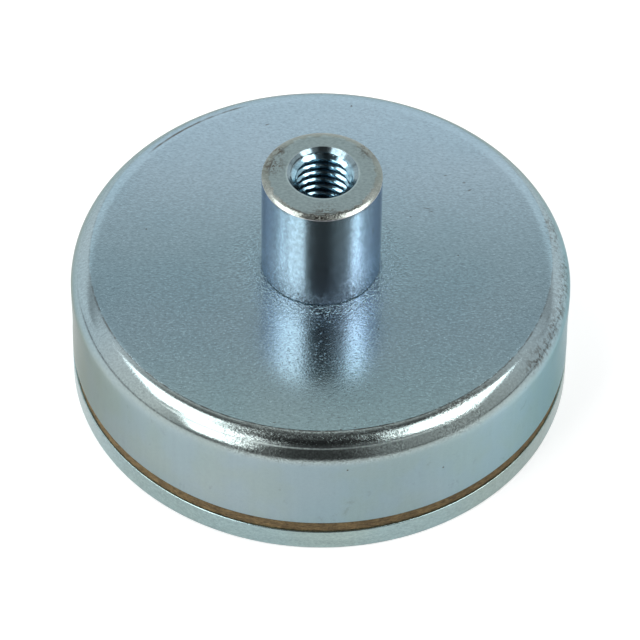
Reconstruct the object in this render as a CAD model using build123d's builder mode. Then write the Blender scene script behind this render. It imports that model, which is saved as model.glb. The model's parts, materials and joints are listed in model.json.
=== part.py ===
"""Ferrite pot magnet with a screwed bush, shown with its pressboard spacer and steel keeper.

Z runs up the bush. The origin is the centre of the keeper's underside, so the part stands on Z = 0:
keeper, spacer, then the pot with its open side down and the bush on top.
Sizes are in millimetres.
"""
import os

from build123d import *

# ---------------------------------------------------------------- driving sizes

# Pot, deep drawn from one sheet
pot_diameter = 63.0
pot_height = 13.8
pot_sheet = 2.5
pot_inside_bend = 0.6
pot_rim_edge_break = 0.3

# Keeper and spacer, the two discs under the pole face; the spacer's edge lies a little inside the pot's
keeper_thickness = 3.0
keeper_edge_break = 0.3
spacer_thickness = 1.6
spacer_inset = 0.3

# Ferrite ring and the bond line that holds it
bond_gap = 0.5
bond_recess = 0.2
magnet_hole_diameter = 20.0
magnet_pole_chamfer = 0.3

# Bush, turned from bar and staked through the pot's floor
bush_diameter = 15.0
bush_length = 15.7
bush_crown_width = 0.9
bush_crown_drop = 0.25
bush_foot_chamfer = 0.4
spigot_diameter = 11.0
stake_overhang = 1.2
stake_height = 1.4
stake_edge_break = 0.6

# M8 x 1.25 tapped hole, drawn at its minor diameter
thread_minor_diameter = 6.647
thread_mouth_diameter = 8.9
thread_mouth_angle = 90.0
thread_exit_chamfer = 0.6

# ---------------------------------------------------------------- derived sizes

spacer_bottom = keeper_thickness
pole_face = spacer_bottom + spacer_thickness
pot_top = pole_face + pot_height
pot_floor = pot_top - pot_sheet
bush_top = pot_top + bush_length

pot_radius = pot_diameter / 2
pot_inside_radius = pot_radius - pot_sheet
pot_outside_bend = pot_inside_bend + pot_sheet
spacer_radius = pot_radius - spacer_inset

magnet_radius = pot_inside_radius - bond_gap
magnet_hole_radius = magnet_hole_diameter / 2
magnet_height = pot_floor - pole_face
magnet_back_chamfer = pot_inside_bend
bond_height = magnet_height - bond_recess - pot_inside_bend

bush_radius = bush_diameter / 2
spigot_radius = spigot_diameter / 2
stake_radius = spigot_radius + stake_overhang
stake_bottom = pot_floor - stake_height
thread_minor_radius = thread_minor_diameter / 2
thread_mouth_radius = thread_mouth_diameter / 2


# ---------------------------------------------------------------- keeper and spacer

# The keeper is a blanked disc as wide as the pot, with both of its edges broken.
with BuildPart() as keeper:
    with BuildSketch(Plane.XY):
        Circle(pot_radius)
    extrude(amount=keeper_thickness)
    chamfer(keeper.edges().filter_by(GeomType.CIRCLE), keeper_edge_break)

# The spacer is a plain punched disc of pressboard.
with BuildPart() as spacer:
    with BuildSketch(Plane.XY.offset(spacer_bottom)):
        Circle(spacer_radius)
    extrude(amount=spacer_thickness)

# ---------------------------------------------------------------- pot

# Half section of the pot: floor on top, wall down to the rim, and the two faces of the drawn
# corner bent about one centre so that the sheet keeps its thickness.
with BuildPart() as cup:
    with BuildSketch(Plane.XZ) as pot_section:
        with BuildLine():
            Polyline(
                (spigot_radius, pot_floor),
                (pot_inside_radius, pot_floor),
                (pot_inside_radius, pole_face),
                (pot_radius, pole_face),
                (pot_radius, pot_top),
                (spigot_radius, pot_top),
                close=True,
            )
        make_face()
        outer_corners = pot_section.vertices().group_by(Axis.X)[-1].sort_by(Axis.Y)
        inside_corner = pot_section.vertices().group_by(Axis.X)[-2].sort_by(Axis.Y)[-1]
        fillet(outer_corners[-1], pot_outside_bend)
        chamfer(outer_corners[0], pot_rim_edge_break)
        fillet(inside_corner, pot_inside_bend)
    revolve(axis=Axis.Z)

# ---------------------------------------------------------------- magnet and bond

# The ring lies against the pot's floor, and its pole side is ground flush with the pot's rim.
# Its back edge is broken enough to clear the pot's inside bend.
with BuildPart() as magnet:
    with BuildSketch(Plane.XY.offset(pole_face)):
        Circle(magnet_radius)
        Circle(magnet_hole_radius, mode=Mode.SUBTRACT)
    extrude(amount=magnet_height)
    back_edge = magnet.edges().group_by(Axis.Z)[-1].sort_by(SortBy.LENGTH)[-1]
    pole_edges = magnet.edges().group_by(Axis.Z)[0]
    chamfer(back_edge, magnet_back_chamfer)
    chamfer(pole_edges, magnet_pole_chamfer)

# The epoxy fills the gap round the ring, from a little inside the rim up to the pot's bend.
with BuildPart() as bond_ring:
    with BuildSketch(Plane.XY.offset(pole_face + bond_recess)):
        Circle(pot_inside_radius)
        Circle(magnet_radius, mode=Mode.SUBTRACT)
    extrude(amount=bond_height)

# ---------------------------------------------------------------- bush

# Half section of the turned bush, solid to the axis: crowned top edge, body, chamfered foot that
# seats on the pot, spigot that fills the hole in the pot's floor, and the staked head below it.
with BuildPart() as bush:
    with BuildSketch(Plane.XZ) as bush_section:
        with BuildLine():
            Polyline(
                (0, bush_top),
                (bush_radius - bush_crown_width, bush_top),
                (bush_radius, bush_top - bush_crown_drop),
                (bush_radius, pot_top + bush_foot_chamfer),
                (bush_radius - bush_foot_chamfer, pot_top),
                (spigot_radius, pot_top),
                (spigot_radius, pot_floor),
                (stake_radius, pot_floor),
                (stake_radius, stake_bottom),
                (0, stake_bottom),
                close=True,
            )
        make_face()
        stake_corner = bush_section.vertices().group_by(Axis.Y)[0].sort_by(Axis.X)[-1]
        chamfer(stake_corner, stake_edge_break)
    revolve(axis=Axis.Z)

    # The tapped hole goes right through, with a turned mouth and a broken edge at the staked end.
    with Locations((0, 0, bush_top)):
        CounterSinkHole(thread_minor_radius, thread_mouth_radius, counter_sink_angle=thread_mouth_angle)
    exit_edge = bush.edges().filter_by(GeomType.CIRCLE).group_by(Axis.Z)[0].sort_by(SortBy.LENGTH)[0]
    chamfer(exit_edge, thread_exit_chamfer)

# ---------------------------------------------------------------- export

cup.part.label = "cup"
bush.part.label = "bush"
magnet.part.label = "magnet"
bond_ring.part.label = "bond_ring"
spacer.part.label = "spacer"
keeper.part.label = "keeper"

os.makedirs("parts", exist_ok=True)
export_step(cup.part, "parts/cup.step")
export_step(bush.part, "parts/bush.step")
export_step(magnet.part, "parts/magnet.step")
export_step(bond_ring.part, "parts/bond_ring.step")
export_step(spacer.part, "parts/spacer.step")
export_step(keeper.part, "parts/keeper.step")
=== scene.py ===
"""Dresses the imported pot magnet: zinc-plated pot, bush and keeper, pressboard spacer, ferrite ring and bond.

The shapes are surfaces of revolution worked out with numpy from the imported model's own boxes, in metres,
with Z up the bush. The studio is a white floor, three long soft lamps, a glowing card behind the pot and a
room that is pale at the sides, dark in front and dark overhead.
"""
import json
import math

import bpy
import numpy as np
from mathutils import Matrix, Vector


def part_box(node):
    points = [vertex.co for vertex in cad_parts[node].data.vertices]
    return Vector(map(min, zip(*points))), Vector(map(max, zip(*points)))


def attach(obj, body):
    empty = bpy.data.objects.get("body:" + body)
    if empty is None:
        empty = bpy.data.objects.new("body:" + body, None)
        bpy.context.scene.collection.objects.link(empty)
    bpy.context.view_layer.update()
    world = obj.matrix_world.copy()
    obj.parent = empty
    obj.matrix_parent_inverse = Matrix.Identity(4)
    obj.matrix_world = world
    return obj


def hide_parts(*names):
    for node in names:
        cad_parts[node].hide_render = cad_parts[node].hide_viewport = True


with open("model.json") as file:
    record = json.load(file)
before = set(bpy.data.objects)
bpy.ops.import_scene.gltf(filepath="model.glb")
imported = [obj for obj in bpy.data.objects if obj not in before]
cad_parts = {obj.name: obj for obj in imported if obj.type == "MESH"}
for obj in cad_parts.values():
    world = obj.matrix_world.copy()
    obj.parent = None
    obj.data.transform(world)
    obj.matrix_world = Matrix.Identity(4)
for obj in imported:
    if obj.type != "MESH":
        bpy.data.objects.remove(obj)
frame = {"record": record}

bl_info = {
    "name": "Pot magnet",
    "version": (1, 0, 0),
    "blender": (4, 5, 0),
    "location": "3D View > Sidebar > Pot magnet",
    "description": "Builds the zinc-plated pot magnet with its bush, spacer and keeper",
    "category": "Object",
}

MM = 0.001
UM = 0.000001
BODY = "root"

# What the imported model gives: the lowest and highest corner of each node
CUP_LOW, CUP_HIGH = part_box("cup")
BUSH_LOW, BUSH_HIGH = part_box("bush")
MAGNET_LOW, MAGNET_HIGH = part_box("magnet")
BOND_LOW, BOND_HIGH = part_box("bond_ring")
SPACER_LOW, SPACER_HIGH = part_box("spacer")
KEEPER_LOW, KEEPER_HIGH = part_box("keeper")
THREAD = next(m for m in frame["record"]["mounts"] if m["name"] == "thread")

# Steps round each piece
POT_STEPS, BUSH_STEPS, KEEPER_STEPS, SPACER_STEPS, RING_STEPS = 400, 224, 360, 1200, 180

# The worn edge of the bush's top: the small round that it runs into, the angle at which it meets that round,
# and its fall at the start as a share of its mean fall
CROWN_ROUND = 0.10 * MM
CROWN_MEETS = math.radians(63)
CROWN_START = 0.45

# The spacer's edge: seed and share of a slow wave round it, and of a fast one that each of its layers has
SLOW_SEED, SLOW_SHARE = 11, 0.175
FAST_SEED, FAST_SHARE = 100, 0.25

# The bright part of the pot's top ends this far inside the pot's outside, at a circle whose middle lies
# behind the bush's axis by the shift
EDGE_MARGIN = 2.5 * MM
EDGE_SHIFT = 0.9 * MM
# How far out from the bush the top is coarser and painted darker as shade, and the radius of a fine dark line
# at the rear
FOOT_RING = 5.5 * MM
REAR_LINE_RADIUS = 28.85 * MM
# How far below the top the drawing die left a ring on the corner, and where the corner is scuffed most
DIE_RING_DROP = 0.84 * MM
OUTER_SCUFF_DROP = 1.35 * MM

# Worn places in millimetres, with one spot of painted shade on the bush's top ring: to the right of the bush's
# axis, behind it, and how far the wear or shade reaches
WORN_SPOTS = ((18.0, -23.0, 7.0), (29.0, 6.0, 6.0))
OUTER_SCUFF_SPOTS = ((28.8, -11.5, 9.0), (31.0, -2.0, 6.5))
PEENED_SPOTS = ((-6.0, -31.0, 10.5), (2.0, -31.0, 15.0), (17.0, -25.0, 6.5))
REAR_LINE_SPOTS = ((-16.5, 23.5, 9.5),)
# On the bush's top ring: stains at the left, rear and right, and in front (the last) painted shade where the
# ring mirrors the dark room.
CROWN_STAINS_AND_SHADE = ((-6.2, 1.5, 2.6), (-5.5, 4.0, 1.8), (6.0, 4.5, 2.6), (0.5, -7.2, 3.2))
# Scratches on the top: the middle in millimetres, the turn in degrees, the length and the half width
SCRATCHES = (
    (13.4, 9.3, -12.0, 1.6, 0.10),
    (13.9, 8.8, -16.0, 0.9, 0.10),
    (18.1, 13.9, 0.0, 0.6, 0.13),
    (15.7, 15.1, 20.0, 0.8, 0.10),
    (18.8, 12.6, 30.0, 0.9, 0.16),
    (11.3, 7.8, 0.0, 0.35, 0.17),
    (-7.2, 23.7, 25.0, 0.9, 0.12),
    (-22.1, 5.0, 60.0, 0.45, 0.15),
    (-5.4, -26.9, 5.0, 0.7, 0.10),
    (4.5, -27.5, 40.0, 0.4, 0.12),
)

# Waves to the metre of the plating's grain, and the share of its cells that hold a pit
POT_GRAIN, POT_PITS = 4200.0, 0.012
KEEPER_GRAIN, KEEPER_PITS = 2200.0, 0.02
# Waves to the metre of the peened metal on the pot's corner and of the flecks where bush and pot meet
PEEN_WAVES = 4200.0
FLECK_WAVES = 2600.0

# The soft lamps: rear end, front end, width, and brightness as a share of the studio's lamp strength
LAMPS = {
    "left_strip": ((-0.204, 0.136, 0.518), (-0.341, -0.152, 0.470), 0.22, 1.0),
    "front_strip": ((-0.240, -0.168, 0.520), (-0.375, -0.455, 0.125), 0.22, 1.0),
    "right_strip": ((0.211, 0.104, 0.479), (0.310, -0.190, 0.428), 0.21, 1.5),
}
# The room from the front round to each side: where each step starts and ends, in degrees, and what it adds
RIGHT_STEPS = ((10, 28, 0.48), (26, 60, 0.22), (60, 110, 0.36))
LEFT_STEPS = ((-8, -30, 0.45), (-45, -75, 0.85))
# How bright the room is where no step adds to it, and what is left of its brightness overhead: a soft step
# between two heights of the view, from one value to another
ROOM_DARK = (0.5, 0.75, 0.10, 0.12)
ROOM_OVERHEAD = (0.80, 0.93, 1.0, 0.14)
# The back card: distance behind the bush, half width and height, and the heights between which its glow fades
CARD_AWAY, CARD_HALF, CARD_TALL = 0.16, 0.40, 0.27
CARD_FADE_LOW, CARD_FADE_HIGH = 0.15, 0.212
# Its glow below and above that fade, and what comes back over a further height
CARD_GLOW, CARD_DIM, CARD_BACK, CARD_BACK_TALL = 1.18, 0.5, 0.35, 0.04
# The floor's half width, its gap to the keeper, its colour, and the glow that the camera and that mirrors see
FLOOR_HALF, FLOOR_GAP, FLOOR_WHITE = 3.0, 0.02 * MM, 0.8
FLOOR_SEEN, FLOOR_MIRRORED = 0.35, 0.20
# What mirrors see of the floor darkens away from a middle behind the bush, from one distance to another, and
# loses this share
FLOOR_LIT, FLOOR_FADE, FLOOR_DARK, FLOOR_LOSS = 0.10, 0.12, 0.42, 0.8


# ---------------------------------------------------------------- sizes and colours

def length(name, description, default):
    """A length in metres, shown in the scene's own unit."""
    return bpy.props.FloatProperty(
        name=name, description=description, default=default, min=0.0, precision=5,
        subtype="DISTANCE", unit="LENGTH",
    )


def turned_by(name, description, default):
    """An angle in radians, shown in degrees."""
    return bpy.props.FloatProperty(
        name=name, description=description, default=default, subtype="ANGLE", unit="ROTATION"
    )


def colour(name, description, default):
    """A linear colour of three channels."""
    return bpy.props.FloatVectorProperty(
        name=name, description=description, default=default, min=0.0, max=1.0, size=3, subtype="COLOR"
    )


class PotSizes(bpy.types.PropertyGroup):
    """Sizes of the drawn pot."""

    sheet: length("Sheet", "Thickness of the steel the pot is drawn from", 2.5 * MM)
    outside_bend: length("Outside bend", "How far in the drawn corner starts on the top", 3.4 * MM)
    shoulder_bend: length("Shoulder bend", "Radius of the corner's first part, from the top down", 3.6 * MM)
    shoulder_turn: turned_by(
        "Shoulder turn", "How far the corner turns over its first part", math.radians(20)
    )
    inside_bend: length("Inside bend", "Radius of the drawn corner on the inside", 0.6 * MM)
    rim_break: length("Rim break", "Rounded outer edge of the rim", 0.3 * MM)
    rim_inside_round: length("Inside rim round", "Small round on the rim's inner edge", 0.08 * MM)
    waist: length("Waist", "How far the wall draws in half way up", 0.06 * MM)


class BushSizes(bpy.types.PropertyGroup):
    """Sizes of the turned bush and its tapped hole."""

    spigot_radius: length("Spigot radius", "Radius of the spigot in the pot's floor", 5.5 * MM)
    crown_width: length("Crown width", "How far the worn top edge reaches in", 0.9 * MM)
    crown_drop: length("Crown drop", "How far the worn top edge falls", 0.29 * MM)
    foot_break: length("Foot break", "Fine groove that the bush's foot chamfer leaves open", 0.14 * MM)
    stake_overhang: length("Stake overhang", "How far the staked end reaches past the spigot", 1.2 * MM)
    stake_break: length("Stake break", "Chamfer of the staked end", 0.6 * MM)
    exit_break: length("Exit break", "Chamfer of the hole at the staked end", 0.6 * MM)
    mouth_radius: length("Mouth radius", "Radius of the hole's countersunk mouth", 4.45 * MM)
    mouth_slope: turned_by(
        "Mouth slope", "How far the mouth's wall leans out from the hole's axis", math.radians(52)
    )
    pitch: length("Pitch", "Pitch of the thread", 1.25 * MM)
    major_radius: length("Major radius", "Radius at the thread's roots", 4.0 * MM)
    runout: bpy.props.FloatVectorProperty(
        name="Runout", description="How far the tapped hole lies off the bush's axis", size=2,
        default=(0.08 * MM, 0.42 * MM), subtype="XYZ", unit="LENGTH", precision=5,
    )


class DiscSizes(bpy.types.PropertyGroup):
    """Sizes of keeper, spacer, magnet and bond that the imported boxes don't give."""

    keeper_round: length("Keeper round", "Radius of the keeper's edges", 0.14 * MM)
    fray: length("Fray", "How rough the spacer's punched edge is", 0.12 * MM)
    magnet_hole_radius: length("Magnet hole", "Radius of the hole in the ferrite ring", 10.0 * MM)
    magnet_back_break: length("Magnet back break", "Chamfer of the ring's back edge", 0.6 * MM)
    magnet_pole_break: length("Magnet pole break", "Chamfer of the ring's pole edges", 0.3 * MM)
    meniscus: length("Meniscus", "Dip of the epoxy's free face between ring and pot", 0.12 * MM)


class Finishes(bpy.types.PropertyGroup):
    """Linear colours of the finishes."""

    zinc_top_rear: colour("Pot top, rear", "Bluer zinc toward the rear of the top", (0.325, 0.43, 0.505))
    zinc_top: colour("Pot top", "Blue-passivated zinc round the bush", (0.270, 0.385, 0.442))
    zinc_top_front: colour("Pot top, front", "Greener zinc toward the front of the top", (0.30, 0.42, 0.44))
    zinc_corner: colour("Pot corner", "Bright zinc on the front of the drawn corner", (0.36, 0.42, 0.41))
    zinc_corner_rear: colour("Pot corner, rear", "Bluer zinc on its sides and rear", (0.31, 0.395, 0.43))
    zinc_wall: colour("Pot wall", "Zinc on the pot's wall", (0.265, 0.345, 0.375))
    # Painted light: the wall's colour on its left is paler for the light it mirrors there.
    zinc_wall_painted_light_left: colour("Pot wall, left", "Paler zinc on the left of the wall", (0.365, 0.432, 0.452))
    zinc_wall_cloud: colour("Wall cloud", "What yellower clouds on the wall leave", (1.0, 0.99, 0.93))
    zinc_cloud: colour("Cloud", "What slow clouds in the pot's plating leave", (0.93, 0.97, 0.98))
    zinc_grazing: colour("Grazing", "What the pot's plating keeps of grazing light", (0.50, 0.64, 0.66))
    zinc_grazing_side: colour("Grazing, side", "The same on the left and at the rear", (0.54, 0.57, 0.53))
    zinc_bush: colour("Bush", "Zinc on the turned bush", (0.49, 0.505, 0.535))
    zinc_bush_cloud: colour("Bush cloud", "Bluer clouds in the bush's plating", (0.46, 0.46, 0.55))
    zinc_bush_grazing: colour("Bush grazing", "Bush plating seen from the side", (0.155, 0.275, 0.485))
    zinc_hole: colour("Bush hole", "Blue zinc in the tapped hole", (0.28, 0.46, 0.56))
    zinc_mouth: colour("Bush mouth", "Duller zinc on the countersunk mouth", (0.195, 0.265, 0.295))
    zinc_crown: colour("Bush crown", "Dulled zinc on the bush's top ring", (0.265, 0.345, 0.355))
    zinc_bare: colour("Bare edge", "Worn bright edge of the bush", (0.35, 0.385, 0.36))
    zinc_dulled: colour("Dulled edge", "Browned parts of the bush's worn edge", (0.215, 0.255, 0.24))
    zinc_keeper: colour("Keeper", "Pale zinc on the keeper", (0.32, 0.43, 0.44))
    zinc_keeper_cloud: colour("Keeper cloud", "Yellower clouds in its plating", (0.33, 0.42, 0.40))
    # worn also paints shade: the line along the edge of the pot's bright top and the front of the bush's top
    # ring.
    worn: colour("Worn", "Brown-black of pits, scuffs and stains", (0.08, 0.072, 0.06))
    board: colour("Pressboard", "Brown pressboard of the spacer", (0.158, 0.109, 0.047))
    ferrite: colour("Ferrite", "Ground ferrite of the magnet", (0.035, 0.035, 0.04))
    ferrite_pore: colour("Ferrite pore", "Pores in the ferrite", (0.012, 0.012, 0.012))
    epoxy: colour("Epoxy", "Cured epoxy of the bond", (0.30, 0.22, 0.08))


class Studio(bpy.types.PropertyGroup):
    """Camera and light."""

    elevation: turned_by("Elevation", "Height of the camera above the horizon", 0.837)
    roll: turned_by("Roll", "Turn of the picture about the line of sight", 0.0149)
    distance: length("Distance", "From the camera to the middle of the pot", 638.3 * MM)
    aim_height: length("Aim height", "Height of the middle of the pot above the floor", 9.0 * MM)
    aim_drop: length("Aim drop", "How far below the middle of the pot the camera looks", 1.144 * MM)
    lens: bpy.props.FloatProperty(
        name="Lens", description="Focal length on a 36 mm sensor", default=282.6,
        subtype="DISTANCE_CAMERA", unit="CAMERA",
    )
    lamp_strength: bpy.props.FloatProperty(
        name="Lamp strength", description="Brightness of the soft lamps, where 1 is white", default=3.3,
        min=0.0,
    )
    room_strength: bpy.props.FloatProperty(
        name="Room strength", description="Brightness of the pale room, where 1 is white", default=0.82,
        min=0.0,
    )


# ---------------------------------------------------------------- surfaces

def line(start, end, count):
    """Points evenly spaced on the straight from start to end, without the end: start + t (end - start)."""
    t = np.linspace(0, 1, count, endpoint=False)[:, None]
    return np.asarray(start, float) * (1 - t) + np.asarray(end, float) * t


def arc(centre, radius, start, end, count):
    """Points on a circle, without the last: centre + radius (cos a, sin a), a from start to end degrees."""
    a = np.radians(np.linspace(start, end, count, endpoint=False))[:, None]
    return np.asarray(centre, float) + radius * np.hstack([np.cos(a), np.sin(a)])


def angles(steps):
    """Evenly spaced angles once round."""
    return np.linspace(0, 2 * math.pi, steps, endpoint=False)


def turn(section, steps):
    """A section of (radius, height) points swept round Z, a row for each: x = r cos a, y = r sin a, z = h."""
    a = angles(steps)
    r, h = section[:, :1], section[:, 1:]
    return np.stack([r * np.cos(a), r * np.sin(a), np.repeat(h, steps, 1)], 2)


def ripple(angle, seed, waves, fall=1.0):
    """A closed random wave round the piece: the sum over n of a_n sin(n angle + p_n), where a_n falls as
    n ** -fall. Its root mean square is 1."""
    draw = np.random.default_rng(seed)
    n = np.asarray(waves, float)
    size = draw.normal(size=len(n)) * n ** -fall
    phase = draw.uniform(0, 2 * math.pi, len(n))
    wave = (size[:, None] * np.sin(n[:, None] * angle[None, :] + phase[:, None])).sum(0)
    return wave / np.sqrt((size ** 2).sum() / 2)


def grid_piece(name, rows, closed):
    """A mesh from rows of points round Z, four corners to a face. Closed joins the last row to the first;
    otherwise the first and last rows lie on the axis, and each becomes one point with a fan of triangles."""
    count, around = rows.shape[:2]
    column = np.arange(around)
    beside = (column + 1) % around
    if closed:
        upper = np.arange(count)
        lower = (upper + 1) % count
        points = rows.reshape(-1, 3)
        poles = []
    else:
        upper = np.arange(count - 3)
        lower = upper + 1
        points = np.vstack([rows[1:-1].reshape(-1, 3), rows[0, :1], rows[-1, :1]])
        first, last = len(points) - 2, len(points) - 1
        end = (count - 3) * around
        poles = [
            np.stack([np.full(around, first), column, beside], 1),
            np.stack([np.full(around, last), end + beside, end + column], 1),
        ]
    u, v = upper[:, None] * around, lower[:, None] * around
    quads = np.stack([u + column, v + column, v + beside, u + beside], 2).reshape(-1, 4)
    mesh = bpy.data.meshes.new(name)
    faces = quads.tolist() + [face for fan in poles for face in fan.tolist()]
    mesh.from_pydata(points.tolist(), [], faces)
    mesh.shade_smooth()
    mesh.validate()
    piece = bpy.data.objects.new(name, mesh)
    bpy.context.scene.collection.objects.link(piece)
    return piece


def settle(piece, node, material):
    """Puts a finished piece on its body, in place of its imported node, with its finish."""
    piece.data.materials.append(material)
    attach(piece, BODY)
    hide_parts(node)
    return piece


def pot_surface(sizes):
    """The pot's closed section, turned: top, drawn corner, wall, rim, inside wall and bend, floor and spigot
    hole. The corner is two arcs that meet without a crease: the first of radius p through the angle t, the
    second of radius (b - p sin t) / (1 - sin t), b being the corner's width. The wall's radius is
    R - waist sin(pi s)^2, s running from the corner to the rim."""
    outer, top, rim = CUP_HIGH.x, CUP_HIGH.z, CUP_LOW.z
    inner, floor = outer - sizes.sheet, top - sizes.sheet
    hole = bpy.context.scene.bush_sizes.spigot_radius
    bend, inside = sizes.outside_bend, sizes.inside_bend
    broken, soft = sizes.rim_break, sizes.rim_inside_round
    shoulder, turned = sizes.shoulder_bend, sizes.shoulder_turn
    knee_angle = 90 - math.degrees(turned)
    lower = (bend - shoulder * math.sin(turned)) / (1 - math.sin(turned))
    knee = top - shoulder - (lower - shoulder) * math.cos(turned)
    wall = line((outer, knee), (outer, rim + broken), 30)
    s = np.linspace(0, 1, len(wall), endpoint=False)
    wall[:, 0] -= sizes.waist * np.sin(math.pi * s) ** 2
    section = np.vstack([
        line((hole, top), (outer - bend, top), 44),
        arc((outer - bend, top - shoulder), shoulder, 90, knee_angle, 16),
        arc((outer - lower, knee), lower, knee_angle, 0, 26),
        wall,
        arc((outer - broken, rim + broken), broken, 0, -90, 8),
        line((outer - broken, rim), (inner + soft, rim), 4),
        arc((inner + soft, rim + soft), soft, 270, 180, 4),
        line((inner, rim + soft), (inner, floor - inside), 6),
        arc((inner - inside, floor - inside), inside, 0, 90, 6),
        line((inner - inside, floor), (hole, floor), 6),
        line((hole, floor), (hole, top), 2),
    ])
    return turn(section, POT_STEPS)


def thread_radius(angle, height, minor, major, pitch):
    """Radius of an internal thread at each angle and height: straight 60 degree flanks from a flat a quarter
    pitch wide at the minor radius to one an eighth wide at the major radius, climbing one pitch per turn."""
    phase = np.mod(height / pitch - angle / (2 * math.pi), 1.0)
    from_root = np.abs(phase - 0.5)
    root_end, crest_start = 1 / 16, 3 / 8
    flank = np.clip((from_root - root_end) / (crest_start - root_end), 0, 1)
    return major - (major - minor) * flank


def bush_outside(sizes):
    """The bush's section from the spigot up to the flat ring round the mouth: seat, foot, side, small round
    and worn edge, which falls as drop u (c + (1 - c) u), u running from the flat ring out to that round."""
    radius, top, seat = BUSH_HIGH.x, BUSH_HIGH.z, CUP_HIGH.z
    foot, flat, low = sizes.foot_break, radius - sizes.crown_width, top - sizes.crown_drop
    edge = radius - CROWN_ROUND * (1 - math.cos(CROWN_MEETS))
    fall = top - low + CROWN_ROUND * (1 - math.sin(CROWN_MEETS))
    u = np.linspace(1, 0, 12, endpoint=False)
    fallen = fall * u * (CROWN_START + (1 - CROWN_START) * u)
    worn_edge = np.stack([flat + u * (edge - flat), top - fallen], 1)
    return np.vstack([
        line((sizes.spigot_radius, seat), (radius - foot, seat), 3),
        line((radius - foot, seat), (radius, seat + foot), 6),
        line((radius, seat + foot), (radius, low - CROWN_ROUND), 30),
        arc((radius - CROWN_ROUND, low - CROWN_ROUND), CROWN_ROUND, 0, math.degrees(CROWN_MEETS), 5),
        worn_edge,
    ])


def bush_crown(sizes):
    """The flat ring from the worn edge in to the mouth, turned. Its middle moves over to the hole's axis."""
    flat, top = BUSH_HIGH.x - sizes.crown_width, BUSH_HIGH.z
    crown = turn(line((flat, top), (sizes.mouth_radius + 0.05 * MM, top), 10), BUSH_STEPS)
    share = np.linspace(0, 1, len(crown))[:, None]
    crown[:, :, 0] += share * sizes.runout[0]
    crown[:, :, 1] += share * sizes.runout[1]
    return crown


def bush_hole(sizes, minor):
    """The tapped hole from its mouth down to the staked end. Its radius is the largest of mouth cone, thread
    and exit cone, and its axis is off the bush's by the runout."""
    top, low = BUSH_HIGH.z, BUSH_LOW.z
    angle = angles(BUSH_STEPS)
    height = np.linspace(top, low, 286)[:, None]
    mouth = sizes.mouth_radius - (top - height) * math.tan(sizes.mouth_slope)
    cone = np.maximum(mouth, minor + sizes.exit_break - (height - low))
    radius = np.maximum(cone, thread_radius(angle, height, minor, sizes.major_radius, sizes.pitch))
    return np.stack([
        radius * np.cos(angle) + sizes.runout[0],
        radius * np.sin(angle) + sizes.runout[1],
        np.repeat(height, BUSH_STEPS, 1),
    ], 2)


def bush_stake(sizes, exit_radius):
    """The bush's section from the hole's exit round the staked end and back along the spigot to the seat."""
    low, seat, floor = BUSH_LOW.z, CUP_HIGH.z, CUP_HIGH.z - bpy.context.scene.pot_sizes.sheet
    spigot, broken = sizes.spigot_radius, sizes.stake_break
    stake = spigot + sizes.stake_overhang
    return np.vstack([
        line((exit_radius + 0.8 * MM, low), (stake - broken, low), 4),
        line((stake - broken, low), (stake, low + broken), 3),
        line((stake, low + broken), (stake, floor), 3),
        line((stake, floor), (spigot, floor), 3),
        line((spigot, floor), (spigot, seat), 3),
    ])


def bush_surface(sizes):
    """The whole bush, closed: outside, crown, hole and staked end, taken backwards to face outwards."""
    minor = THREAD["dims"]["r_mm"] * MM
    outside, stake = bush_outside(sizes), bush_stake(sizes, minor + sizes.exit_break)
    rows = [turn(outside, BUSH_STEPS), bush_crown(sizes), bush_hole(sizes, minor), turn(stake, BUSH_STEPS)]
    return np.vstack(rows)[::-1]


def keeper_surface(sizes):
    """The keeper's section from axis to axis, turned: top, rounded edge, side, rounded edge, underside."""
    outer, top, low = KEEPER_HIGH.x, KEEPER_HIGH.z, KEEPER_LOW.z
    rounded = sizes.keeper_round
    section = np.vstack([
        line((0, top), (outer - rounded, top), 12),
        arc((outer - rounded, top - rounded), rounded, 90, 0, 10),
        line((outer, top - rounded), (outer, low + rounded), 8),
        arc((outer - rounded, low + rounded), rounded, 0, -90, 10),
        line((outer - rounded, low), (0, low), 12),
        [(0, low)],
    ])
    return turn(section, KEEPER_STEPS)


def spacer_surface(sizes):
    """The spacer's section from axis to axis, turned. The punched edge is R + fray (p f(angle) + q g(angle,
    layer)), p and q being shares: f is a slow closed wave, and g a fast one drawn for each of the board's
    layers and averaged with that of the layer above."""
    outer, top, low = SPACER_HIGH.x, SPACER_HIGH.z, SPACER_LOW.z
    across, down = 10, 26
    section = np.vstack([
        line((0, top), (outer, top), across),
        line((outer, top), (outer, low), down),
        line((outer, low), (0, low), across),
        [(0, low)],
    ])
    rows = turn(section, SPACER_STEPS)
    angle, layers = angles(SPACER_STEPS), down + 1
    slow = ripple(angle, SLOW_SEED, range(2, 40), 0.8)
    fast = np.stack([ripple(angle, FAST_SEED + k, range(60, 420, 3), 0.5) for k in range(layers)])
    fast = (fast + np.roll(fast, 1, 0)) / 2
    push = sizes.fray * (SLOW_SHARE * slow + FAST_SHARE * fast)
    rows[across:across + layers, :, :2] *= (1 + push / outer)[:, :, None]
    return rows


def magnet_surface(sizes):
    """The ferrite ring's closed section, turned: back face, broken back edge, side, pole face, hole."""
    outer, hole, back, pole = MAGNET_HIGH.x, sizes.magnet_hole_radius, MAGNET_HIGH.z, MAGNET_LOW.z
    wide, fine = sizes.magnet_back_break, sizes.magnet_pole_break
    section = np.vstack([
        line((hole, back), (outer - wide, back), 8),
        line((outer - wide, back), (outer, back - wide), 3),
        line((outer, back - wide), (outer, pole + fine), 6),
        line((outer, pole + fine), (outer - fine, pole), 3),
        line((outer - fine, pole), (hole + fine, pole), 10),
        line((hole + fine, pole), (hole, pole + fine), 3),
        line((hole, pole + fine), (hole, back), 6),
    ])
    return turn(section, RING_STEPS)


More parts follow.
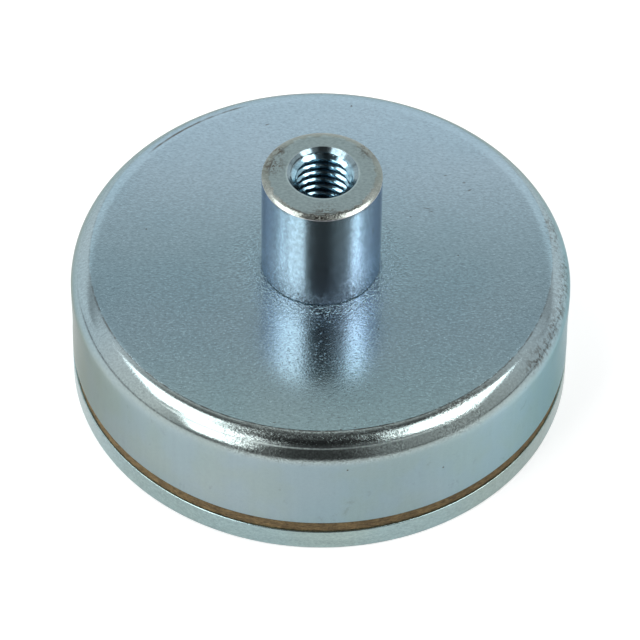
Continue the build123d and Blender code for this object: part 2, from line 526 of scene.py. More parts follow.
def bond_surface(sizes):
    """The bond's closed section, turned. Its free face dips by meniscus (1 - (2 s - 1)^2), s running from pot
    to ring."""
    outer, inner, top, low = BOND_HIGH.x, MAGNET_HIGH.x, BOND_HIGH.z, BOND_LOW.z
    face = line((outer, low), (inner, low), 10)
    s = np.linspace(0, 1, len(face), endpoint=False)
    face[:, 1] += sizes.meniscus * (1 - (2 * s - 1) ** 2)
    section = np.vstack([
        line((inner, top), (outer, top), 2),
        line((outer, top), (outer, low), 6),
        face,
        line((inner, low), (inner, top), 6),
    ])
    return turn(section, RING_STEPS)


# ---------------------------------------------------------------- finishes

class Nodes:
    """Adds and joins shader nodes in one tree."""

    def __init__(self, tree):
        self.tree = tree

    def add(self, kind, inputs=(), **settings):
        """A node of that kind with its settings, whose inputs are values or other nodes' sockets."""
        node = self.tree.nodes.new(kind)
        for key, value in settings.items():
            setattr(node, key, value)
        for key, value in dict(inputs).items():
            self.put(node, key, value)
        return node

    def put(self, node, key, value):
        """Joins a socket to one input of a node, or sets that input to a value or to a colour's channels."""
        socket = node.inputs[key]
        if isinstance(value, bpy.types.NodeSocket):
            self.tree.links.new(value, socket)
        elif socket.type == "RGBA" and len(value) == 3:
            socket.default_value = (*value, 1.0)
        else:
            socket.default_value = value

    def math(self, operation, a, b=0.0, c=0.0, clamp=False):
        """One sum of up to three values."""
        return self.add("ShaderNodeMath", {0: a, 1: b, 2: c}, operation=operation, use_clamp=clamp).outputs[0]

    def vector(self, operation, a, b=(0.0, 0.0, 0.0), output="Vector"):
        """One sum of two vectors, or of a vector and a scale."""
        inputs = {0: a, 3: b} if operation == "SCALE" else {0: a, 1: b}
        return self.add("ShaderNodeVectorMath", inputs, operation=operation).outputs[output]

    def chain(self, operation, values):
        """The values joined from the first to the last by one operation."""
        result = values[0]
        for value in values[1:]:
            result = self.math(operation, result, value)
        return result

    def product(self, *values):
        """All the values multiplied together."""
        return self.chain("MULTIPLY", values)

    def total(self, *values):
        """All the values added up."""
        return self.chain("ADD", values)

    def most(self, *values):
        """The largest of the values."""
        return self.chain("MAXIMUM", values)

    def rest(self, *shares):
        """What the shares leave of 1."""
        return self.math("SUBTRACT", 1.0, self.total(*shares), clamp=True)

    def noise(self, place, waves, detail=2.0, roughness=0.5, distortion=0.0):
        """A cloudy value round 0.5, with that many waves to the metre."""
        return self.add("ShaderNodeTexNoise", {
            "Vector": place, "Scale": waves, "Detail": detail, "Roughness": roughness,
            "Distortion": distortion,
        }).outputs["Fac"]

    def ramp(self, value, low, high, to_low=0.0, to_high=1.0):
        """A soft step: to_low where value is under low, to_high where it is over high."""
        return self.add("ShaderNodeMapRange", {
            "Value": value, "From Min": low, "From Max": high, "To Min": to_low, "To Max": to_high,
        }, interpolation_type="SMOOTHSTEP").outputs["Result"]

    def fade(self, value, low, high):
        """A soft step down: 1 where value is under low, 0 where it is over high."""
        return self.ramp(value, low, high, 1.0, 0.0)

    def patches(self, place, noise, step):
        """Soft patches: a noise of (waves, detail, roughness) taken through a soft step of (low, high), to
        which the values under and over it may be added."""
        return self.ramp(self.noise(place, *noise), *step)

    def band(self, value, middle, reach):
        """1 at the middle, falling softly to 0 at reach from it."""
        return self.fade(self.math("ABSOLUTE", self.math("SUBTRACT", value, middle)), 0.0, reach)

    def blend(self, share, a, b):
        """Colour b over colour a by share."""
        return self.add("ShaderNodeMix", {0: share, 6: a, 7: b}, data_type="RGBA").outputs[2]

    def tinted(self, tone, left):
        """A colour of which each channel keeps what is left."""
        inputs = {0: 1.0, 6: tone, 7: left}
        return self.add("ShaderNodeMix", inputs, data_type="RGBA", blend_type="MULTIPLY").outputs[2]

    def scaled(self, tone, share):
        """A colour times a value."""
        return self.vector("SCALE", tone, share)

    def stretched(self, place, factors):
        """The place squeezed along each axis, which draws a noise out along the axes with small factors."""
        return self.add("ShaderNodeMapping", {"Vector": place, "Scale": factors}).outputs[0]

    def shifted(self, place, middle):
        """The place measured from another middle."""
        return self.vector("SUBTRACT", place, middle)

    def parts(self, place):
        """The place's x, y and z and its distance from the bush's axis."""
        split = self.add("ShaderNodeSeparateXYZ", {0: place}).outputs
        flat = self.vector("MULTIPLY", place, (1.0, 1.0, 0.0))
        return split[0], split[1], split[2], self.vector("LENGTH", flat, output="Value")

    def worn(self, place, spots, height):
        """Wear round spots at one height, and painted shade round the bush's front crown spot: 1 on a spot,
        falling softly to 0 at its reach.
        """
        found = []
        for right, behind, reach in spots:
            away = self.vector("DISTANCE", place, (right * MM, behind * MM, height), "Value")
            found.append(self.fade(away, 0.0, reach * MM))
        return self.most(*found)


def empty_nodes(owner):
    """The emptied node tree of a material or world, ready for new nodes."""
    owner.use_nodes = True
    owner.node_tree.nodes.clear()
    return Nodes(owner.node_tree)


def new_material(name):
    """An empty node material and its nodes, with the surface shader and the object's own coordinates."""
    material = bpy.data.materials.new(name)
    nodes = empty_nodes(material)
    shader = nodes.add("ShaderNodeBsdfPrincipled")
    nodes.add("ShaderNodeOutputMaterial", {"Surface": shader.outputs["BSDF"]})
    place = nodes.add("ShaderNodeTexCoord").outputs["Object"]
    return material, nodes, shader, place


def glowing(nodes, strength):
    """A white glow of that strength."""
    return nodes.add("ShaderNodeEmission", {"Color": (1.0, 1.0, 1.0), "Strength": strength}).outputs[0]


def plating_group():
    """Zinc plate close up: its grain as a height, a fine mottle, slow tint patches and pits, all 0 to 1."""
    found = bpy.data.node_groups.get("zinc plating")
    if found:
        return found
    tree = bpy.data.node_groups.new("zinc plating", "ShaderNodeTree")
    face = tree.interface
    face.new_socket(name="Place", in_out="INPUT", socket_type="NodeSocketVector")
    for label in ("Grain per metre", "Pit share"):
        face.new_socket(name=label, in_out="INPUT", socket_type="NodeSocketFloat")
    for label in ("Grain", "Mottle", "Tint", "Pits"):
        face.new_socket(name=label, in_out="OUTPUT", socket_type="NodeSocketFloat")
    nodes = Nodes(tree)
    source = nodes.add("NodeGroupInput").outputs
    place = source["Place"]
    dots = nodes.add("ShaderNodeTexVoronoi", {"Vector": place, "Scale": 1100.0, "Randomness": 1.0}).outputs
    pick = nodes.add("ShaderNodeSeparateColor", {"Color": dots["Color"]}).outputs[0]
    chosen = nodes.math("LESS_THAN", pick, source["Pit share"])
    nodes.add("NodeGroupOutput", {
        "Grain": nodes.noise(place, source["Grain per metre"], 2.0, 0.6),
        "Mottle": nodes.noise(nodes.stretched(place, (0.6, 1.0, 1.0)), 3600.0, 2.0, 0.7),
        "Tint": nodes.noise(place, 55.0, 2.0, 0.5),
        "Pits": nodes.product(chosen, nodes.fade(dots["Distance"], 0.06, 0.2)),
    })
    return tree


def plated(nodes, place, grain, pits):
    """The zinc plating group placed in a material: its grain, mottle, tint and pits."""
    node = nodes.add("ShaderNodeGroup", node_tree=plating_group())
    for key, value in (("Place", place), ("Grain per metre", grain), ("Pit share", pits)):
        nodes.put(node, key, value)
    return [node.outputs[label] for label in ("Grain", "Mottle", "Tint", "Pits")]


def relief(nodes, shader, height):
    """Bumps the shader's surface by a height in micrometres."""
    bump = nodes.add("ShaderNodeBump", {"Strength": 1.0, "Distance": UM, "Height": height})
    nodes.put(shader, "Normal", bump.outputs[0])


def scratches(nodes, place, marks):
    """Scratches in the top face, each (right, behind, turn in degrees, length, half width), as a mask."""
    found = []
    for right, behind, turned, long, wide in marks:
        moved = nodes.add("ShaderNodeMapping", {
            "Vector": place, "Location": (right * MM, behind * MM, 0.0),
            "Rotation": (0.0, 0.0, math.radians(turned)),
        }, vector_type="TEXTURE").outputs[0]
        along, across = nodes.add("ShaderNodeSeparateXYZ", {0: moved}).outputs[:2]
        mark = nodes.product(nodes.band(along, 0.0, long * MM / 2), nodes.band(across, 0.0, wide * MM))
        found.append(mark)
    return nodes.most(*found)


class PotPlace:
    """Where a point of the pot lies: right and behind in shares of the pot's radius, its other distances in
    metres, and how far it is on the top, corner, wall, bush's foot and peened metal, from 0 to 1."""

    def __init__(self, nodes, place):
        x, y, z, self.radius = nodes.parts(place)
        self.right = nodes.product(x, 1 / CUP_HIGH.x)
        self.behind = nodes.product(y, 1 / CUP_HIGH.y)
        self.drop = nodes.math("SUBTRACT", CUP_HIGH.z, z)
        from_edge_middle = nodes.parts(nodes.shifted(place, (0.0, EDGE_SHIFT, 0.0)))[3]
        self.past_edge = nodes.math("SUBTRACT", from_edge_middle, CUP_HIGH.x - EDGE_MARGIN)
        self.on_top = nodes.product(
            nodes.fade(self.past_edge, 0.0, 0.3 * MM), nodes.fade(self.drop, 0.9 * MM, 1.3 * MM)
        )
        bend = bpy.context.scene.pot_sizes.outside_bend
        self.on_wall = nodes.ramp(self.drop, 0.55 * bend, 0.9 * bend)
        self.on_corner = nodes.rest(self.on_top, self.on_wall)
        by_bush = nodes.fade(self.radius, BUSH_HIGH.x, BUSH_HIGH.x + FOOT_RING)
        self.by_foot = nodes.product(self.on_top, by_bush)
        self.peened = nodes.product(
            nodes.ramp(nodes.worn(place, PEENED_SPOTS, CUP_HIGH.z), 0.0, 0.6),
            nodes.patches(place, (400.0, 2.0, 0.6), (0.3, 0.7, 0.5, 1.0)),
        )


def pot_tone(nodes, place, at, tint, colours):
    """The plating's colour: greener in front on the top and bluer behind; cloudier on the wall, with painted
    light that makes the wall paler on its left and brighter toward its right.
    """
    top = nodes.blend(nodes.ramp(at.behind, -1.0, -0.3), colours.zinc_top_front, colours.zinc_top)
    top = nodes.blend(nodes.ramp(at.behind, 0.0, 0.8), top, colours.zinc_top_rear)
    corner = nodes.blend(nodes.ramp(at.behind, -0.8, -0.3), colours.zinc_corner, colours.zinc_corner_rear)
    # Painted light: the wall is paler on its left and up to 1.4 times brighter toward its right, for the light
    # it mirrors.
    wall = nodes.blend(nodes.ramp(at.right, -0.9, 0.1), colours.zinc_wall_painted_light_left, colours.zinc_wall)
    wall = nodes.scaled(wall, nodes.ramp(at.right, 0.3, 0.9, 1.0, 1.4))
    clouds = nodes.patches(nodes.stretched(place, (1.0, 1.0, 0.7)), (170.0, 3.0, 0.6), (0.4, 0.62))
    wall = nodes.blend(clouds, wall, nodes.tinted(wall, colours.zinc_wall_cloud))
    tone = nodes.blend(at.on_top, nodes.blend(at.on_wall, corner, wall), top)
    return nodes.blend(nodes.ramp(tint, 0.35, 0.65), tone, nodes.tinted(tone, colours.zinc_cloud))


def pot_lightness(nodes, place, at, mottle):
    """How light the plating is, round 1: streaks on the wall, mottle, a sparkling corner, and painted shade
    that darkens the top round the bush's foot.
    """
    drawn = nodes.stretched(place, (1.0, 1.0, 0.04))
    streaks = nodes.product(at.on_wall, nodes.patches(drawn, (1400.0, 2.0, 0.6), (0.3, 0.7, -0.012, 0.012)))
    contrast = nodes.math("MULTIPLY_ADD", at.on_wall, -0.5, 0.65)
    mottled = nodes.product(nodes.math("SUBTRACT", mottle, 0.5), contrast)
    sparkle = nodes.product(
        at.on_corner, nodes.math("MULTIPLY_ADD", at.peened, 1.2, 0.09),
        nodes.patches(place, (PEEN_WAVES, 3.0, 0.8), (0.3, 0.7, -0.5, 0.45)),
    )
    # by_foot times -0.12 is painted shade on the top where it meets the bush.
    return nodes.total(streaks, mottled, sparkle, nodes.product(at.by_foot, -0.12), 1.0)


def pot_dirt_and_shade(nodes, place, at):
    """Scratches, scuffs, the dark line at the rear and a speckled line of painted shade along the edge of the
    bright top, as a mask.
    """
    top = CUP_HIGH.z
    scuffs = nodes.product(
        nodes.band(at.past_edge, 0.6 * MM, 1.2 * MM), nodes.worn(place, WORN_SPOTS, top),
        nodes.patches(place, (2200.0, 4.0, 0.75), (0.42, 0.66)),
    )
    outer_scuffs = nodes.product(
        nodes.band(at.drop, OUTER_SCUFF_DROP, 1.4 * MM),
        nodes.ramp(nodes.worn(place, OUTER_SCUFF_SPOTS, top - OUTER_SCUFF_DROP), 0.0, 0.5),
        nodes.patches(nodes.stretched(place, (1.0, 1.0, 0.6)), (1750.0, 5.0, 0.8), (0.46, 0.58, 0.0, 0.8)),
    )
    # Painted shade: a speckled dark line along the edge of the bright top, strongest in front, where the edge
    # mirrors the dark room.
    edge_shade_line = nodes.product(
        nodes.band(at.past_edge, 0.12 * MM, 0.2 * MM), nodes.ramp(at.behind, -0.5, 0.2, 1.0, 0.25),
        nodes.patches(place, (700.0, 3.0, 0.7), (0.35, 0.6, 0.1, 0.8)),
    )
    rear_line = nodes.product(
        nodes.band(at.radius, REAR_LINE_RADIUS, 0.26 * MM),
        nodes.ramp(nodes.worn(place, REAR_LINE_SPOTS, top), 0.0, 0.4),
        nodes.patches(place, (350.0, 3.0, 0.6), (0.35, 0.6, 0.25, 1.0)),
    )
    scratched = nodes.product(at.on_top, scratches(nodes, place, SCRATCHES))
    return nodes.most(scratched, edge_shade_line, rear_line, scuffs, outer_scuffs)


def pot_height(nodes, place, at, grain, dirt_and_shade):
    """The pot's relief in micrometres: flakes and grain on the top, finer toward the rear and coarser at the
    bush's foot, a ridge round that, a step at the edge of the bright top, and the corner's peened skin."""
    flakes = nodes.product(at.on_top, nodes.patches(place, (3600.0, 1.0, 0.5), (0.6, 0.75)))
    closer = nodes.ramp(at.radius, BUSH_HIGH.x + 0.3 * MM, BUSH_HIGH.x + 2.4 * MM, 2.4, 0.95)
    flecks = nodes.patches(place, (FLECK_WAVES, 2.0, 0.6), (0.48, 0.6))
    top_grain = nodes.product(at.on_top, nodes.ramp(at.behind, -0.6, 0.1, 9.5, 6.2))
    foot_ridge = nodes.product(at.on_top, nodes.band(at.radius, BUSH_HIGH.x + 0.26 * MM, 0.2 * MM))
    skin = nodes.product(at.on_corner, nodes.noise(place, PEEN_WAVES, 3.0, 0.8))
    return nodes.total(
        nodes.product(flakes, nodes.ramp(at.behind, -0.6, 0.1, 14.0, 7.0)),
        nodes.product(at.by_foot, closer, flecks, 24.0),
        nodes.product(grain, nodes.total(top_grain, nodes.product(at.by_foot, 16.0), 2.5)),
        nodes.product(skin, nodes.math("MULTIPLY_ADD", at.peened, 15.0, 6.0)),
        nodes.product(nodes.fade(at.past_edge, 0.0, 0.14 * MM), 16.0),
        nodes.product(foot_ridge, 15.0),
        nodes.product(dirt_and_shade, -6.0),
    )


def pot_zinc(colours):
    """Satin zinc: bluish and finely grained on the top, coarse and worn on the drawn corner, smooth down the
    wall, with the ring that the drawing die left round the front of the corner."""
    material, nodes, shader, place = new_material("pot_zinc")
    grain, mottle, tint, pits = plated(nodes, place, POT_GRAIN, POT_PITS)
    at = PotPlace(nodes, place)
    dirt_and_shade = nodes.most(pits, pot_dirt_and_shade(nodes, place, at))
    drawn = nodes.stretched(place, (1.0, 1.0, 0.6))
    smears = nodes.patches(drawn, (620.0, 4.0, 0.75), (0.6, 0.75, 0.0, 0.22))
    # The worn colour here also paints the shade line along the edge of the bright top.
    soiled_and_shaded = nodes.most(dirt_and_shade, nodes.product(at.on_wall, smears))
    tone = pot_tone(nodes, place, at, tint, colours)
    shaded = nodes.scaled(tone, pot_lightness(nodes, place, at, mottle))
    nodes.put(shader, "Base Color", nodes.blend(soiled_and_shaded, shaded, colours.worn))
    shader.inputs["Metallic"].default_value = 1.0
    aside = nodes.most(nodes.fade(at.right, -0.95, -0.4), nodes.ramp(at.behind, 0.0, 0.6))
    nodes.put(shader, "Specular Tint", nodes.blend(aside, colours.zinc_grazing, colours.zinc_grazing_side))
    in_front = nodes.fade(at.behind, -0.85, -0.6)
    die_ring = nodes.product(nodes.band(at.drop, DIE_RING_DROP, 0.13 * MM), in_front)
    nodes.put(shader, "Roughness", nodes.total(
        nodes.product(at.on_corner, -0.07), nodes.product(at.on_wall, 0.04), nodes.product(die_ring, 0.3),
        0.16,
    ))
    relief(nodes, shader, pot_height(nodes, place, at, grain, dirt_and_shade))
    return material


def bush_zinc(colours, sizes):
    """Glossy blue zinc on the turned side and in the hole, duller and greener on the top ring, whose outer
    edge is worn bare, bright in front and browned behind. A thin painted highlight lies on the ring round the
    front of the mouth, and a spot of painted shade darkens the ring's front."""
    material, nodes, shader, place = new_material("bush_zinc")
    grain, mottle, tint, pits = plated(nodes, nodes.stretched(place, (1.0, 1.0, 0.4)), POT_GRAIN, POT_PITS)
    y, z, radius = nodes.parts(place)[1:]
    top, drop, rim, seat = BUSH_HIGH.z, sizes.crown_drop, BUSH_HIGH.x, CUP_HIGH.z
    hole_radius = nodes.parts(nodes.shifted(place, (*sizes.runout, 0.0)))[3]
    in_hole = nodes.fade(hole_radius, sizes.mouth_radius - 0.05 * MM, sizes.mouth_radius)
    in_mouth = nodes.ramp(hole_radius, sizes.major_radius - 0.35 * MM, sizes.major_radius + 0.05 * MM)
    outside = nodes.rest(in_hole)
    on_crown = nodes.product(nodes.ramp(z, top - 1.25 * drop, top - 1.05 * drop), outside)
    wobble = nodes.patches(place, (900.0, 3.0, 0.6), (0.3, 0.7, -0.22 * MM, 0.22 * MM))
    bare = nodes.product(on_crown, nodes.ramp(nodes.total(radius, wobble), rim - 1.0 * MM, rim - 0.7 * MM))
    ragged = nodes.total(nodes.product(y, 1 / rim), nodes.noise(place, 500.0, 3.0, 0.7))
    browned = nodes.ramp(ragged, 0.05, 0.6)

    facing = nodes.add("ShaderNodeLayerWeight", {"Blend": 0.35}).outputs["Facing"]
    side = nodes.blend(nodes.ramp(tint, 0.4, 0.6), colours.zinc_bush, colours.zinc_bush_cloud)
    side = nodes.blend(nodes.ramp(facing, 0.25, 0.85), side, colours.zinc_bush_grazing)
    hole = nodes.blend(in_mouth, colours.zinc_hole, colours.zinc_mouth)
    tone = nodes.blend(on_crown, nodes.blend(in_hole, side, hole), colours.zinc_crown)
    tone = nodes.blend(bare, tone, nodes.blend(browned, colours.zinc_bare, colours.zinc_dulled))
    # Painted highlight: a thin bright line on the top ring round the mouth, strongest in front.
    painted_lip_highlight = nodes.product(
        on_crown, nodes.band(hole_radius, sizes.mouth_radius + 0.08 * MM, 0.16 * MM),
        nodes.ramp(y, 0.0, 0.5 * rim, 1.0, 0.1),
    )
    lightness = nodes.math("MULTIPLY_ADD", painted_lip_highlight, 0.45, nodes.ramp(mottle, 0.2, 0.8, 0.82, 1.18))
    seam_place = nodes.total(radius, nodes.product(wobble, 0.3))
    seam = nodes.product(nodes.band(seam_place, rim - 0.95 * MM, 0.17 * MM), 0.95)
    stained = nodes.most(nodes.patches(place, (1700.0, 4.0, 0.8), (0.47, 0.56)), seam)
    # The crown spot in front paints shade on the ring's front; the other spots, the seam and the pits are
    # stains.
    dirt_and_shade = nodes.most(pits, nodes.product(on_crown, nodes.worn(place, CROWN_STAINS_AND_SHADE, top), stained))
    nodes.put(shader, "Base Color", nodes.blend(dirt_and_shade, nodes.scaled(tone, lightness), colours.worn))
    shader.inputs["Metallic"].default_value = 1.0
    nodes.put(shader, "Roughness", nodes.total(
        nodes.product(on_crown, 0.2), nodes.product(bare, -0.16), nodes.product(bare, browned, 0.2), 0.13
    ))

    along = nodes.add("ShaderNodeCombineXYZ", {0: radius, 1: 0.0, 2: z}).outputs[0]
    flecks = nodes.patches(place, (FLECK_WAVES, 2.0, 0.6), (0.48, 0.6))
    coarser = nodes.product(nodes.fade(z, seat, seat + 4.0 * MM), 8.0)
    relief(nodes, shader, nodes.total(
        nodes.product(nodes.fade(z, seat, seat + 2.6 * MM), outside, flecks, 26.0),
        nodes.product(grain, outside, nodes.total(coarser, 5.0)),
        nodes.product(nodes.noise(place, 1500.0, 3.0, 0.65), bare, 22.0),
        nodes.product(nodes.noise(along, 5200.0, 2.0, 0.6), 1.5),
        nodes.product(dirt_and_shade, -8.0),
    ))
    return material


def keeper_zinc(colours):
    """Pale zinc, coarser than the pot's wall, with the marks of rolling across it."""
    material, nodes, shader, place = new_material("keeper_zinc")
    grain, mottle, tint, pits = plated(nodes, place, KEEPER_GRAIN, KEEPER_PITS)
    rolled = nodes.noise(nodes.stretched(place, (0.06, 1.0, 1.0)), 1300.0, 2.0, 0.6)
    clouded = nodes.blend(nodes.ramp(tint, 0.35, 0.65), colours.zinc_keeper, colours.zinc_keeper_cloud)
    mottled = nodes.product(nodes.math("SUBTRACT", mottle, 0.5), 0.75)
    shaded = nodes.scaled(clouded, nodes.total(mottled, nodes.ramp(rolled, 0.3, 0.7, -0.05, 0.05), 1.0))
    nodes.put(shader, "Base Color", nodes.blend(pits, shaded, colours.worn))
    shader.inputs["Metallic"].default_value = 1.0
    shader.inputs["Roughness"].default_value = 0.22
    relief(nodes, shader, nodes.total(nodes.product(grain, 9.0), nodes.product(rolled, 3.0)))
    return material


def pressboard(colours):
    """Brown board of matted fibres, darker between the fibres, which lie mostly flat in the sheet."""
    material, nodes, shader, place = new_material("pressboard")
    fibres = nodes.noise(nodes.stretched(place, (1.0, 1.0, 3.0)), 1500.0, 5.0, 0.75, 1.0)
    clumps = nodes.patches(place, (500.0, 3.0, 0.6), (0.3, 0.7, 0.8, 1.2))
    lightness = nodes.product(nodes.ramp(fibres, 0.3, 0.7, 0.35, 1.6), clumps)
    nodes.put(shader, "Base Color", nodes.scaled(colours.board, lightness))
    shader.inputs["Roughness"].default_value = 0.85
    relief(nodes, shader, nodes.product(fibres, 90.0))
    return material


def ferrite(colours):
    """Ground sintered ferrite: charcoal, with fine parallel grinding marks and pores."""
    material, nodes, shader, place = new_material("ferrite")
    marks = nodes.noise(nodes.stretched(place, (1.0, 14.0, 1.0)), 420.0, 3.0, 0.6)
    pores = nodes.patches(place, (2400.0, 2.0, 0.6), (0.62, 0.75))
    shaded = nodes.scaled(colours.ferrite, nodes.ramp(marks, 0.3, 0.7, 0.8, 1.35))
    nodes.put(shader, "Base Color", nodes.blend(pores, shaded, colours.ferrite_pore))
    nodes.put(shader, "Roughness", nodes.ramp(marks, 0.3, 0.7, 0.42, 0.6))
    relief(nodes, shader, nodes.product(marks, 8.0))
    return material


def epoxy(colours):
    """Cured epoxy: glossy amber, a little cloudy."""
    material, nodes, shader, place = new_material("epoxy")
    clouds = nodes.patches(place, (350.0, 3.0, 0.6), (0.3, 0.7, 0.8, 1.2))
    nodes.put(shader, "Base Color", nodes.scaled(colours.epoxy, clouds))
    shader.inputs["Roughness"].default_value = 0.18
    shader.inputs["Coat Weight"].default_value = 0.4
    return material


# ---------------------------------------------------------------- operators

class BuildPot(bpy.types.Operator):
    """Builds the drawn steel pot."""

    bl_idname = "potmagnet.build_pot"
    bl_label = "Build pot"

    def execute(self, context):
        piece = grid_piece("pot", pot_surface(context.scene.pot_sizes), True)
        settle(piece, "cup", pot_zinc(context.scene.finishes))
        return {"FINISHED"}


class BuildBush(bpy.types.Operator):
    """Builds the turned bush with its thread."""

    bl_idname = "potmagnet.build_bush"
    bl_label = "Build bush"

    def execute(self, context):
        piece = grid_piece("threaded_bush", bush_surface(context.scene.bush_sizes), True)
        piece.data.set_sharp_from_angle(angle=math.radians(35))
        settle(piece, "bush", bush_zinc(context.scene.finishes, context.scene.bush_sizes))
        return {"FINISHED"}


class BuildMagnet(bpy.types.Operator):
    """Builds the ferrite ring and the epoxy that bonds it into the pot."""

    bl_idname = "potmagnet.build_magnet"
    bl_label = "Build magnet and bond"

    def execute(self, context):
        sizes, colours = context.scene.disc_sizes, context.scene.finishes
        ring = grid_piece("ferrite_ring", magnet_surface(sizes), True)
        ring.data.set_sharp_from_angle(angle=math.radians(30))
        settle(ring, "magnet", ferrite(colours))
        bond = grid_piece("epoxy_bond", bond_surface(sizes), True)
        bond.data.set_sharp_from_angle(angle=math.radians(40))
        settle(bond, "bond_ring", epoxy(colours))
        return {"FINISHED"}


class BuildSpacer(bpy.types.Operator):
    """Builds the pressboard spacer with its rough punched edge."""

    bl_idname = "potmagnet.build_spacer"
    bl_label = "Build spacer"

    def execute(self, context):
        piece = grid_piece("board_spacer", spacer_surface(context.scene.disc_sizes), False)
        settle(piece, "spacer", pressboard(context.scene.finishes))
        return {"FINISHED"}


class BuildKeeper(bpy.types.Operator):
    """Builds the steel keeper disc."""

    bl_idname = "potmagnet.build_keeper"
    bl_label = "Build keeper"

    def execute(self, context):
        piece = grid_piece("keeper_disc", keeper_surface(context.scene.disc_sizes), False)
        settle(piece, "keeper", keeper_zinc(context.scene.finishes))
        return {"FINISHED"}


def camera_matrix(studio):
    """The camera's place: back from the pot along the line of sight, looking a little below the pot's middle,
    with its right and up turned by the roll."""
    e = studio.elevation
    back, up = Vector((0, -math.cos(e), math.sin(e))), Vector((0, math.sin(e), math.cos(e)))
    middle = Vector((0, 0, studio.aim_height))
    eye = middle + studio.distance * back
    out = (eye - (middle - studio.aim_drop * up)).normalized()
    flat_right = Vector((1, 0, 0))
    flat_up = out.cross(flat_right)
    c, s = math.cos(studio.roll), math.sin(studio.roll)
    right, above = c * flat_right + s * flat_up, c * flat_up - s * flat_right
    turned = Matrix((right, above, out)).transposed().to_4x4()
    return Matrix.Translation(eye) @ turned


def soft_lamp(name, back_end, front_end, width, strength):
    """A long soft lamp between two points, facing the pot. Its power is strength x pi x area, so strength is
    what a mirror would show."""
    start, end = Vector(back_end), Vector(front_end)
    along = (end - start).normalized()
    centre = (start + end) / 2
    out = (centre - along * centre.dot(along)).normalized()
    across = out.cross(along)
    lamp = bpy.data.lights.new(name, "AREA")
    lamp.shape = "RECTANGLE"
    lamp.size = (end - start).length
    lamp.size_y = width
    lamp.energy = strength * math.pi * lamp.size * lamp.size_y
    holder = bpy.data.objects.new(name, lamp)
    holder.matrix_world = Matrix.Translation(centre) @ Matrix((along, across, out)).transposed().to_4x4()
    bpy.context.scene.collection.objects.link(holder)


def sheet(name, corners, material):
    """A flat sheet of the stage, with four corners."""
    mesh = bpy.data.meshes.new(name)
    mesh.from_pydata(corners, [], [(0, 1, 2, 3)])
    mesh.materials.append(material)
    holder = bpy.data.objects.new(name, mesh)
    bpy.context.scene.collection.objects.link(holder)
    return holder


def room_world(studio):
    """The room: dark in front, where the camera stands, paler in steps round to each side, and dark overhead.
    The camera itself sees plain white."""
    world = bpy.data.worlds.new("room")
    bpy.context.scene.world = world
    nodes = empty_nodes(world)
    way = nodes.add("ShaderNodeTexCoord").outputs["Generated"]
    right, behind, up = nodes.add("ShaderNodeSeparateXYZ", {0: way}).outputs[:3]
    turned = nodes.math("ARCTAN2", right, nodes.product(behind, -1.0))
    to_right = nodes.total(*[
        nodes.ramp(turned, math.radians(start), math.radians(end), 0.0, share)
        for start, end, share in RIGHT_STEPS
    ])
    to_left = nodes.total(*[
        nodes.ramp(turned, math.radians(end), math.radians(start), share, 0.0)
        for start, end, share in LEFT_STEPS
    ])
    pale = nodes.most(to_right, to_left, nodes.ramp(up, *ROOM_DARK))
    room = nodes.product(pale, nodes.ramp(up, *ROOM_OVERHEAD), studio.room_strength)
    seen = nodes.add("ShaderNodeLightPath").outputs["Is Camera Ray"]
    strength = nodes.add("ShaderNodeMix", {0: seen, 2: room, 3: 1.0}).outputs[0]
    sky = nodes.add("ShaderNodeBackground", {"Color": (1.0, 1.0, 1.0), "Strength": strength})
    nodes.add("ShaderNodeOutputWorld", {"Surface": sky.outputs[0]})


def card_glow():
    """The back card glows evenly up to a height, fades above it and is brighter again toward its top."""
    material = bpy.data.materials.new("card_glow")
    nodes = empty_nodes(material)
    place = nodes.add("ShaderNodeTexCoord").outputs["Object"]
    height = nodes.add("ShaderNodeSeparateXYZ", {0: place}).outputs[2]
    strength = nodes.total(
        nodes.ramp(height, CARD_FADE_LOW, CARD_FADE_HIGH, CARD_GLOW, CARD_DIM),
        nodes.ramp(height, CARD_FADE_HIGH, CARD_FADE_HIGH + CARD_BACK_TALL, 0.0, CARD_BACK),
    )
    nodes.add("ShaderNodeOutputMaterial", {"Surface": glowing(nodes, strength)})
    return material


def floor_white():
    """White floor: a diffuse part that takes the object's shadow, and a glow seen by the camera and by
    mirrors that brings the lit floor to white. Mirrors see it darken far from the object."""
    material = bpy.data.materials.new("floor_white")
    nodes = empty_nodes(material)
    rays = nodes.add("ShaderNodeLightPath").outputs
    mirrored = nodes.most(rays["Is Glossy Ray"], rays["Is Transmission Ray"])
    place = nodes.add("ShaderNodeTexCoord").outputs["Object"]
    away = nodes.vector("DISTANCE", place, (0.0, FLOOR_LIT, 0.0), "Value")
    near = nodes.rest(nodes.product(mirrored, nodes.ramp(away, FLOOR_FADE, FLOOR_DARK, 0.0, FLOOR_LOSS)))
    matt = nodes.add("ShaderNodeBsdfDiffuse", {"Color": nodes.scaled((FLOOR_WHITE,) * 3, near)})
    seen = nodes.total(
        nodes.product(rays["Is Camera Ray"], FLOOR_SEEN), nodes.product(mirrored, near, FLOOR_MIRRORED)
    )
    both = nodes.add("ShaderNodeAddShader", {0: matt.outputs[0], 1: glowing(nodes, seen)})
    nodes.add("ShaderNodeOutputMaterial", {"Surface": both.outputs[0]})
    return material


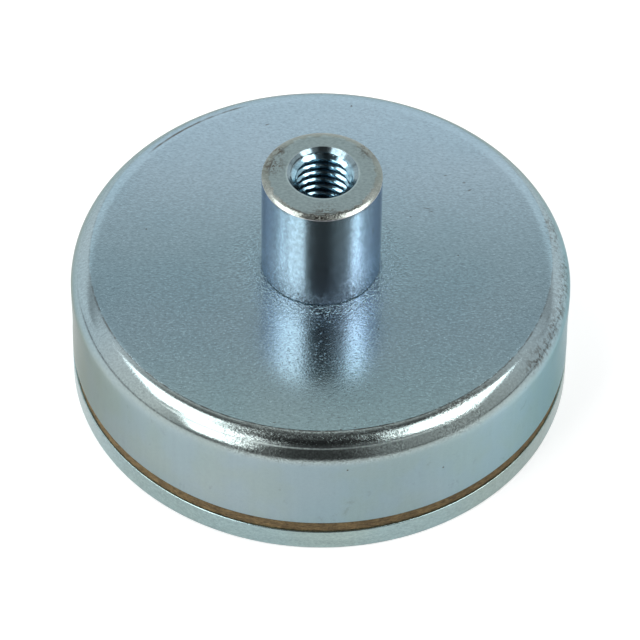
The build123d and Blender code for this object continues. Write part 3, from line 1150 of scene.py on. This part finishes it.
class BuildStage(bpy.types.Operator):
    """Builds the white floor, the back card, the soft lamps, the room and the camera."""

    bl_idname = "potmagnet.build_stage"
    bl_label = "Build stage"

    def execute(self, context):
        studio, half, level = context.scene.studio, FLOOR_HALF, KEEPER_LOW.z - FLOOR_GAP
        floor = sheet("floor", [
            (-half, -half, level), (half, -half, level), (half, half, level), (-half, half, level),
        ], floor_white())
        card = sheet("back_card", [
            (-CARD_HALF, CARD_AWAY, 0.0), (CARD_HALF, CARD_AWAY, 0.0),
            (CARD_HALF, CARD_AWAY, CARD_TALL), (-CARD_HALF, CARD_AWAY, CARD_TALL),
        ], card_glow())
        card.visible_camera = False
        card.visible_shadow = False
        for name, (back_end, front_end, width, share) in LAMPS.items():
            soft_lamp(name, back_end, front_end, width, share * studio.lamp_strength)
        room_world(studio)
        camera = bpy.data.cameras.new("camera")
        camera.sensor_width = 36.0
        camera.lens = studio.lens
        camera.clip_start = 0.01
        holder = bpy.data.objects.new("camera", camera)
        holder.matrix_world = camera_matrix(studio)
        context.scene.collection.objects.link(holder)
        context.scene.camera = holder
        context.scene.view_settings.view_transform = "Standard"
        return {"FINISHED"}


class PotMagnetPanel(bpy.types.Panel):
    """Lists the builders in the sidebar."""

    bl_idname = "POTMAGNET_PT_build"
    bl_label = "Pot magnet"
    bl_space_type = "VIEW_3D"
    bl_region_type = "UI"
    bl_category = "Pot magnet"

    def draw(self, context):
        for operator in OPERATORS:
            self.layout.operator(operator.bl_idname)


OPERATORS = (BuildPot, BuildBush, BuildMagnet, BuildSpacer, BuildKeeper, BuildStage)
GROUPS = {
    "pot_sizes": PotSizes,
    "bush_sizes": BushSizes,
    "disc_sizes": DiscSizes,
    "finishes": Finishes,
    "studio": Studio,
}


def register():
    """Makes the settings, the builders and the panel known."""
    for name, group in GROUPS.items():
        bpy.utils.register_class(group)
        setattr(bpy.types.Scene, name, bpy.props.PointerProperty(type=group))
    for operator in OPERATORS:
        bpy.utils.register_class(operator)
    bpy.utils.register_class(PotMagnetPanel)


def unregister():
    """Takes them away again."""
    bpy.utils.unregister_class(PotMagnetPanel)
    for operator in reversed(OPERATORS):
        bpy.utils.unregister_class(operator)
    for name, group in GROUPS.items():
        delattr(bpy.types.Scene, name)
        bpy.utils.unregister_class(group)


def main():
    """Registers the add-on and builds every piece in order."""
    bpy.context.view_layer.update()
    register()
    bpy.ops.potmagnet.build_pot()
    bpy.ops.potmagnet.build_bush()
    bpy.ops.potmagnet.build_magnet()
    bpy.ops.potmagnet.build_spacer()
    bpy.ops.potmagnet.build_keeper()
    bpy.ops.potmagnet.build_stage()


if __name__ == "__main__":
    main()
